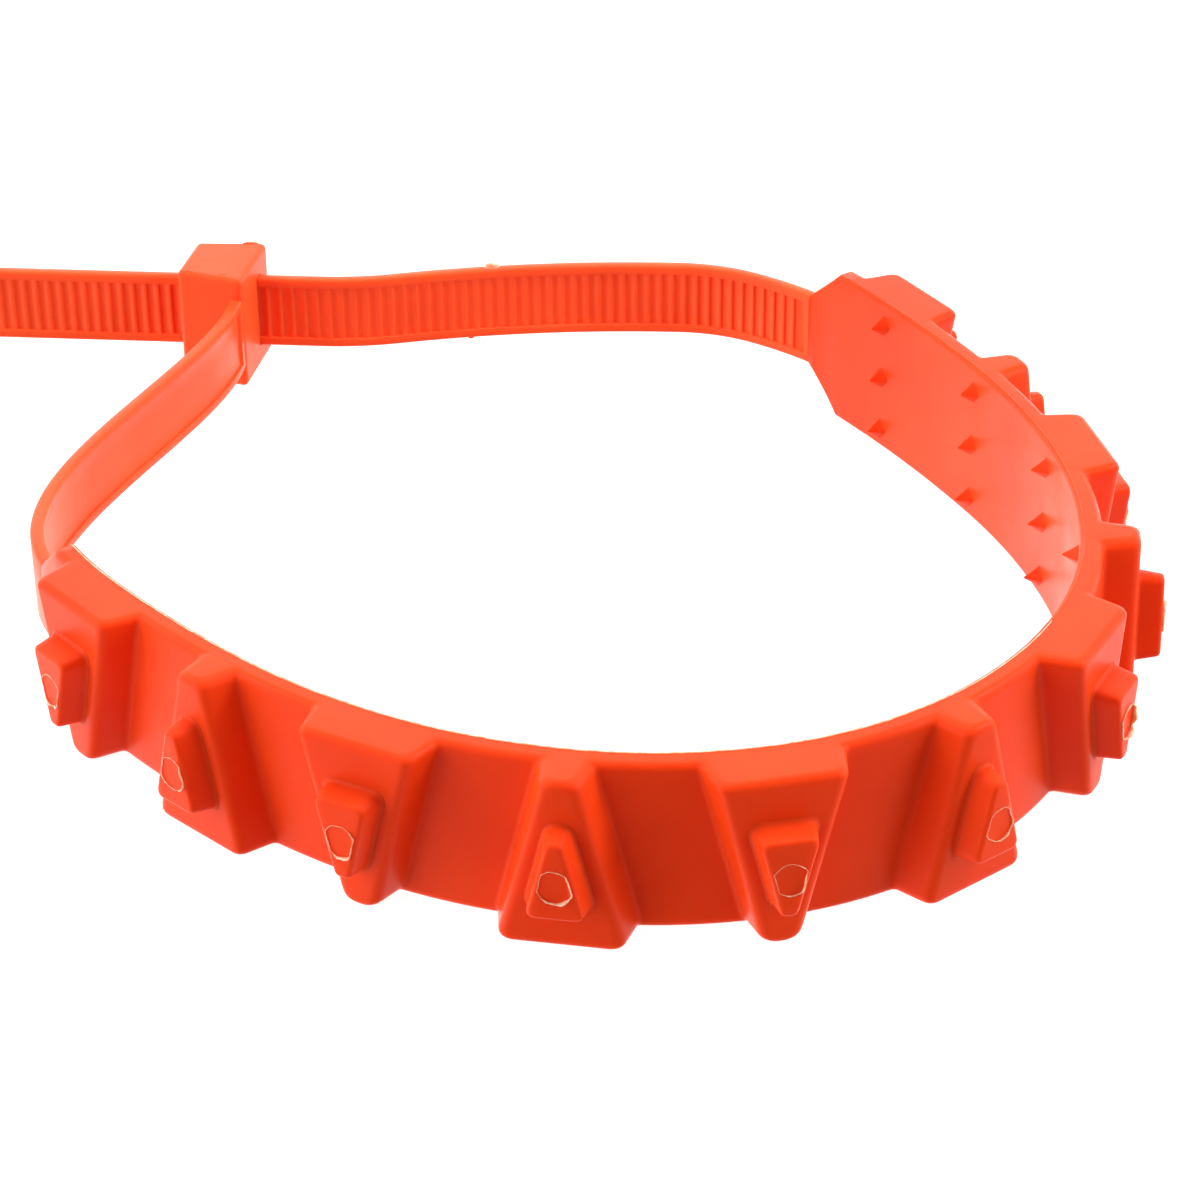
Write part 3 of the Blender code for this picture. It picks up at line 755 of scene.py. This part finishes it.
def make_ladder():
    """The toothed strap and its free tail in one piece."""
    profile = ladder_profile()
    half = STRAP_WIDTH / 2
    last_tooth = profile[-1][0]
    sections = [(0.0, PLAIN), (0.7 * MM, PLAIN), (0.9 * MM, profile[0][1]), *profile,
                (last_tooth + 0.3 * MM, PLAIN)]
    rings = [strap_ring(BAND.at(BAND.length - ROOT_LENGTH), strap_section(half, PLAIN, ROOT_SHRINK))]
    rings += [strap_ring(LADDER.at(distance), strap_section(half, depth)) for distance, depth in sections]
    rings += [strap_ring(LADDER.at(distance), strap_section(narrow, PLAIN))
              for distance, narrow in tail_point(last_tooth)]
    ladder = crease(loft("ladder_skin", rings), 50)
    dress(ladder, LADDER_PLASTIC)
    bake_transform(ladder)
    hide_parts("ladder_strap", "ladder_tail")


def neck_curve():
    """The neck's cubic curve, from the head to the band's left end, and its tangent."""
    entry_corner, exit_corner = head_point(*HEAD_ENTRY_CORNERS[1]), head_point(*HEAD_EXIT_CORNERS[1])
    end = entry_corner + (exit_corner - entry_corner).normalized() * NECK_FROM_ENTRY_CORNER
    x, y, heading = BAND.at(0.0)
    root = Vector((x, y))
    leaving = Vector((math.cos(heading), math.sin(heading)))
    arriving = Vector((math.cos(math.radians(NECK_ARRIVAL)), math.sin(math.radians(NECK_ARRIVAL))))
    p0, p1, p2, p3 = end, end - arriving * NECK_HANDLES[1], root - leaving * NECK_HANDLES[0], root

    def station(t):
        s = 1 - t
        point = p0 * s ** 3 + p1 * 3 * t * s ** 2 + p2 * 3 * t ** 2 * s + p3 * t ** 3
        slope = (p1 - p0) * s ** 2 + (p2 - p1) * 2 * s * t + (p3 - p2) * t ** 2
        return (point.x, point.y, math.atan2(slope.y, slope.x))

    return station


NECK_STEPS = 90
RECESS_FROM_HEAD, RECESS_FROM_BAND = 0.019, 0.975      # shares of the neck's curve
RECESS_END, RECESS_RUN_OUT = 0.004, 0.02


def make_neck():
    """The strap from the head to the band, sunk between two rails."""
    station = neck_curve()
    near_recess = {RECESS_FROM_HEAD + k * RECESS_END / 4 for k in range(-1, 6)}
    half = STRAP_WIDTH / 2
    x, y, heading = station(0.0)
    inside_head = (x - 1.0 * MM * math.cos(heading), y - 1.0 * MM * math.sin(heading), heading)
    rings = [strap_ring(inside_head, strap_section(half, PLAIN))]
    for share in sorted({i / NECK_STEPS for i in range(NECK_STEPS + 1)} | near_recess):
        sunk = min((share - RECESS_FROM_HEAD) / RECESS_END, (RECESS_FROM_BAND - share) / RECESS_RUN_OUT, 1.0)
        rings.append(strap_ring(station(share), strap_section(half, max(PLAIN, NECK_RECESS * sunk))))
    rings.append(strap_ring(BAND.at(ROOT_LENGTH), strap_section(half, PLAIN, ROOT_SHRINK)))
    neck = crease(loft("neck_skin", rings), 50)
    dress(neck, STRAP_PLASTIC)
    start = (*BAND.at(0.0)[:2], MID_HEIGHT)
    end = (*station(2 / NECK_STEPS)[:2], MID_HEIGHT)
    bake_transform(neck)
    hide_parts("neck_strap")


# ---------------------------------------------------------------- head

def prism(name, corners, bottom, top):
    """An upright prism over a plan outline."""
    bm = bmesh.new()
    low = [bm.verts.new(at_height(point, bottom)) for point in corners]
    high = [bm.verts.new(at_height(point, top)) for point in corners]
    bm.faces.new(low[::-1])
    bm.faces.new(high)
    for i in range(len(corners)):
        n = (i + 1) % len(corners)
        bm.faces.new((low[i], low[n], high[n], high[i]))
    mesh = bpy.data.meshes.new(name)
    bm.to_mesh(mesh)
    bm.free()
    return finish_mesh(name, mesh)


def soften(piece, width):
    """Rounds the piece's sharp edges."""
    bevel = piece.modifiers.new("Soft edges", "BEVEL")
    bevel.width = width
    bevel.segments = 4
    bevel.limit_method = "ANGLE"
    bevel.angle_limit = math.radians(35)
    return piece


def cut(piece, tool):
    boolean = piece.modifiers.new("Cut", "BOOLEAN")
    boolean.operation = "DIFFERENCE"
    boolean.solver = "EXACT"
    boolean.object = tool
    tool.hide_render = True


def bake(piece, tools):
    """Turns the piece's modifiers into its mesh and removes the tools."""
    bpy.context.view_layer.update()
    evaluated = piece.evaluated_get(bpy.context.evaluated_depsgraph_get())
    mesh = bpy.data.meshes.new_from_object(evaluated)
    piece.modifiers.clear()
    piece.data = mesh
    for tool in tools:
        bpy.data.objects.remove(tool, do_unlink=True)


def head_prism(name, corners, bottom, top):
    """A prism over an outline given in the head's axes."""
    return prism(name, [head_point(e, n) for e, n in corners], bottom, top)


def head_box(name, along, inward, half_height):
    """A box in the head's axes, centred on the strap's height."""
    (e0, e1), (n0, n1) = along, inward
    corners = ((e0, n0), (e1, n0), (e1, n1), (e0, n1))
    return head_prism(name, corners, MID_HEIGHT - half_height, MID_HEIGHT + half_height)


def make_head():
    """The locking block, with a slot for the ladder, a chamber for the pawl and softened edges."""
    outline = (*HEAD_EXIT_CORNERS, *reversed(HEAD_ENTRY_CORNERS))
    block = head_prism("head_skin", outline, HEAD_BOTTOM, HEAD_TOP)
    bake(soften(block, HEAD_ROUND), [])
    half_slot = STRAP_THICK / 2 + SLOT_CLEARANCE
    half_strap = STRAP_WIDTH / 2 + SLOT_CLEARANCE
    half_chamber = PAWL_HALF_WIDTH + 0.6 * MM
    slot = head_box("slot_tool", (-CUT_REACH, CUT_REACH), (-half_slot, half_slot), half_strap)
    chamber = head_box("chamber_tool", (CHAMBER_START, CUT_REACH),
                       (half_slot - 0.2 * MM, CHAMBER_DEPTH), half_chamber)
    cut(block, slot)
    cut(block, chamber)
    bake(block, [slot, chamber])
    crease(block, 30)
    flat_faces_stay_flat(block)
    dress(block, HEAD_PLASTIC)
    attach(block, "head")
    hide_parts("head_housing")


def make_nub(name, place, size, material, body):
    """A small rounded lump of flash."""
    bm = bmesh.new()
    bmesh.ops.create_icosphere(bm, subdivisions=3, radius=1.0)
    for vertex in bm.verts:
        vertex.co *= 1 + 0.25 * noise.noise(vertex.co * 1.3 + place / MM)
        vertex.co = place + vertex.co * Vector(size)
    mesh = bpy.data.meshes.new(name)
    bm.to_mesh(mesh)
    bm.free()
    nub = finish_mesh(name, mesh)
    dress(nub, material)
    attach(nub, body)


def make_small_flash():
    """Flash on the head's top and on the strap's edges."""
    place = at_height(head_point(-3.2 * MM, -4.9 * MM), HEAD_TOP - 0.15 * MM)
    make_nub("head_flash", place, (1.3 * MM, 0.5 * MM, 0.3 * MM), HEAD_PLASTIC, "head")
    place = at_height(head_point(-0.6 * MM, 6.6 * MM), HEAD_TOP - 0.1 * MM)
    make_nub("head_mark", place, (0.7 * MM, 0.7 * MM, 0.2 * MM), HEAD_PLASTIC, "head")
    place = at_height(beside(LADDER.at(GUIDE_START - 28.1 * MM), 0.0), MID_HEIGHT + STRAP_WIDTH / 2)
    make_nub("strap_nub_top", place, (1.2 * MM, 0.5 * MM, 0.8 * MM), FLASH, "band")
    place = at_height(beside(LADDER.at(GUIDE_START - 24.4 * MM), 0.0), MID_HEIGHT - STRAP_WIDTH / 2)
    make_nub("strap_nub_bottom", place, (0.7 * MM, 0.4 * MM, 0.5 * MM), LADDER_PLASTIC, "band")


# ---------------------------------------------------------------- floor, light and camera

CAMERA_PLACE = Vector((-13.507, -367.028, 268.584)) * MM
CAMERA_DOWN, CAMERA_LEFT, CAMERA_ROLL = math.radians(31.003), math.radians(-0.774), math.radians(-0.477)
LENS, SENSOR = 106.44, 36.0
FLOOR_SIZE = 6.0
LOOP_MIDDLE = Vector((0.0, 0.065, 0.0))
LAMPS = {                            # place, width, height, watts
    "left_high": ((-0.60, 0.05, 0.50), 0.35, 0.25, 1.35),
    "left_front": ((-0.55, -0.50, 0.30), 0.35, 0.25, 0.30),
    "right_high": ((0.60, 0.05, 0.50), 0.35, 0.25, 3.2),
    "right_low": ((0.75, 0.05, 0.16), 0.35, 0.25, 0.60),
    "above": ((0.0, 0.09, 0.42), 0.35, 0.20, 0.98),
}
STUDIO_WALLS = {                     # direction from the tie, colour and brightness there
    "left": ((-1.0, 0.0, 0.0), (2.8, 2.8, 2.8)),
    "right": ((1.0, 0.0, 0.0), (1.5, 1.5, 1.5)),
    "back": ((0.0, 1.0, 0.0), (3.05, 3.05, 3.05)),
    "front": ((0.0, -1.0, 0.0), (0.14, 0.03, 0.05)),
    "floor": ((0.0, 0.0, -1.0), (1.0, 1.0, 1.0)),
}


def make_camera():
    data = bpy.data.cameras.new("camera")
    data.lens = LENS
    data.sensor_width = SENSOR
    data.clip_start = 0.01
    data.clip_end = 20.0
    camera = bpy.data.objects.new("camera", data)
    bpy.context.scene.collection.objects.link(camera)
    turn = (Matrix.Rotation(CAMERA_LEFT, 4, "Z") @ Matrix.Rotation(math.pi / 2 - CAMERA_DOWN, 4, "X")
            @ Matrix.Rotation(CAMERA_ROLL, 4, "Z"))
    camera.matrix_world = Matrix.Translation(CAMERA_PLACE) @ turn
    bpy.context.scene.camera = camera


def make_floor():
    """A plain pale sheet.  The studio's own light stands in for what it would throw back up."""
    bm = bmesh.new()
    bmesh.ops.create_grid(bm, x_segments=2, y_segments=2, size=FLOOR_SIZE / 2)
    mesh = bpy.data.meshes.new("floor")
    bm.to_mesh(mesh)
    bm.free()
    floor = bpy.data.objects.new("floor", mesh)
    bpy.context.scene.collection.objects.link(floor)
    floor.location.z = -0.05 * MM
    floor.visible_diffuse = False
    floor.visible_glossy = False
    floor.visible_transmission = False
    floor.visible_shadow = False
    material, _, _, shader = new_material("floor_sheet")
    shader.inputs["Base Color"].default_value = (0.25, 0.25, 0.25, 1.0)
    shader.inputs["Roughness"].default_value = 0.9
    shader.inputs["Specular IOR Level"].default_value = 0.1
    shader.inputs["Emission Color"].default_value = (1.0, 1.0, 1.0, 1.0)
    shader.inputs["Emission Strength"].default_value = 0.96
    mesh.materials.append(material)


def make_lamps():
    for name, (place, width, height, power) in LAMPS.items():
        data = bpy.data.lights.new(name, "AREA")
        data.shape = "RECTANGLE"
        data.size = width
        data.size_y = height
        data.energy = power
        lamp = bpy.data.objects.new(name, data)
        bpy.context.scene.collection.objects.link(lamp)
        lamp.location = place
        lamp.rotation_euler = (LOOP_MIDDLE - Vector(place)).to_track_quat("-Z", "Y").to_euler()
        lamp.visible_camera = False


def wall_light(nodes, links, direction, axis):
    """How brightly a wall shines from a direction: the square of the cosine from its axis."""
    facing = nodes.new("ShaderNodeVectorMath")
    facing.operation = "DOT_PRODUCT"
    facing.inputs[1].default_value = axis
    links.new(direction, facing.inputs[0])
    ahead = nodes.new("ShaderNodeMath")
    ahead.operation = "MAXIMUM"
    ahead.inputs[1].default_value = 0.0
    links.new(facing.outputs["Value"], ahead.inputs[0])
    falloff = nodes.new("ShaderNodeMath")
    falloff.operation = "POWER"
    falloff.inputs[1].default_value = 2.0
    links.new(ahead.outputs[0], falloff.inputs[0])
    return falloff.outputs[0]


def make_studio():
    """Soft light from all round, strong from the sides, the back and the pale floor, weak in front."""
    world = bpy.data.worlds.new("studio")
    bpy.context.scene.world = world
    world.use_nodes = True
    nodes, links = world.node_tree.nodes, world.node_tree.links
    direction = nodes.new("ShaderNodeTexCoord").outputs["Generated"]
    total = None
    for axis, colour in STUDIO_WALLS.values():
        gathered = nodes.new("ShaderNodeVectorMath")
        gathered.operation = "MULTIPLY_ADD"
        gathered.inputs[1].default_value = colour
        links.new(wall_light(nodes, links, direction, axis), gathered.inputs[0])
        if total is not None:
            links.new(total, gathered.inputs[2])
        total = gathered.outputs[0]
    links.new(total, nodes["Background"].inputs["Color"])
    nodes["Background"].inputs["Strength"].default_value = 1.0


def paint_carried_nodes():
    """The pawl keeps its CAD mesh and only takes the better plastic."""
    pawl = frame["nodes"]["pawl"]
    pawl.data.materials.clear()
    pawl.data.materials.append(PAWL_PLASTIC)


check_layout()
make_band()
for number in range(LUG_COUNT):
    make_tip(number)
    make_scar(number)
    make_spikes(number)
RIM_FLASH_TURN = lug_distance(6)
make_rim_flash("rim_flash_front", HEAD_END_TAPER[0] - 1.0 * MM, RIM_FLASH_TURN, FLASH, 0.12 * MM)
make_rim_flash("rim_flash_back", RIM_FLASH_TURN + 0.1 * MM, lug_distance(LUG_COUNT - 1), STRAP_PLASTIC,
               0.10 * MM)
make_ladder()
make_neck()
make_head()
make_small_flash()
paint_carried_nodes()
make_floor()
make_lamps()
make_studio()
make_camera()
bpy.context.scene.view_settings.view_transform = "Standard"
